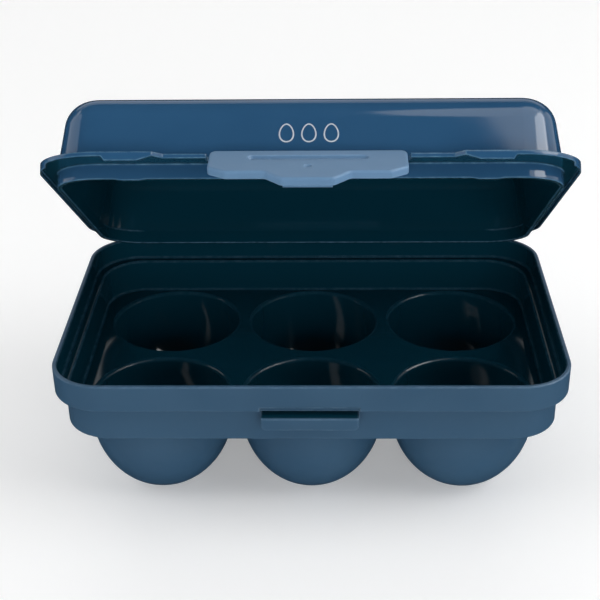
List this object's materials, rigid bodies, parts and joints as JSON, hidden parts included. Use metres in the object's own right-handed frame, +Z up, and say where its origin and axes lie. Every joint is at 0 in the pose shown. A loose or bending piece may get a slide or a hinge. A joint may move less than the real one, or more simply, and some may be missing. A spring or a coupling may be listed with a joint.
{
  "type": "egg carton",
  "caption": "Hinged plastic egg carrier: a tray with rounded egg cups, a deep lid on back hinges and a swinging front latch plate.",
  "frame": {"origin": "in the plane that the six cup ends stand on, at the crossing of the tray's two centre lines", "axes": "+Z up, +X along the tray's long side to the right as seen from the latch, -Y to the front, where the latch is"},
  "size_m": [0.1612, 0.1165, 0.1256],
  "materials": {
    "tray_plastic": "satin moulded plastic, muted navy blue",
    "lid_plastic": "glossy moulded plastic, navy blue",
    "latch_plastic": "satin moulded plastic, a lighter navy blue",
    "pin_steel": "drawn wire"
  },
  "bodies": {
    "tray": {"base_tray": "tray_plastic", "hinge_pin_left": "pin_steel", "hinge_pin_right": "pin_steel"},
    "lid": {"lid_shell": "lid_plastic", "latch_pin": "pin_steel"},
    "latch": {"latch": "latch_plastic"}
  },
  "joints": [
    {"name": "lid_hinge", "type": "hinge", "parent": "tray", "child": "lid", "pos_m": [0, 0.0555, 0.048], "axis": [-1, 0, 0], "range_deg": [-35.6, 144.4]},
    {"name": "latch_hinge", "type": "hinge", "parent": "lid", "child": "latch", "pos_m": [0, -0.0342, 0.11493], "axis": [-1, 0, 0], "range_deg": [-53, 37]}
  ]
}
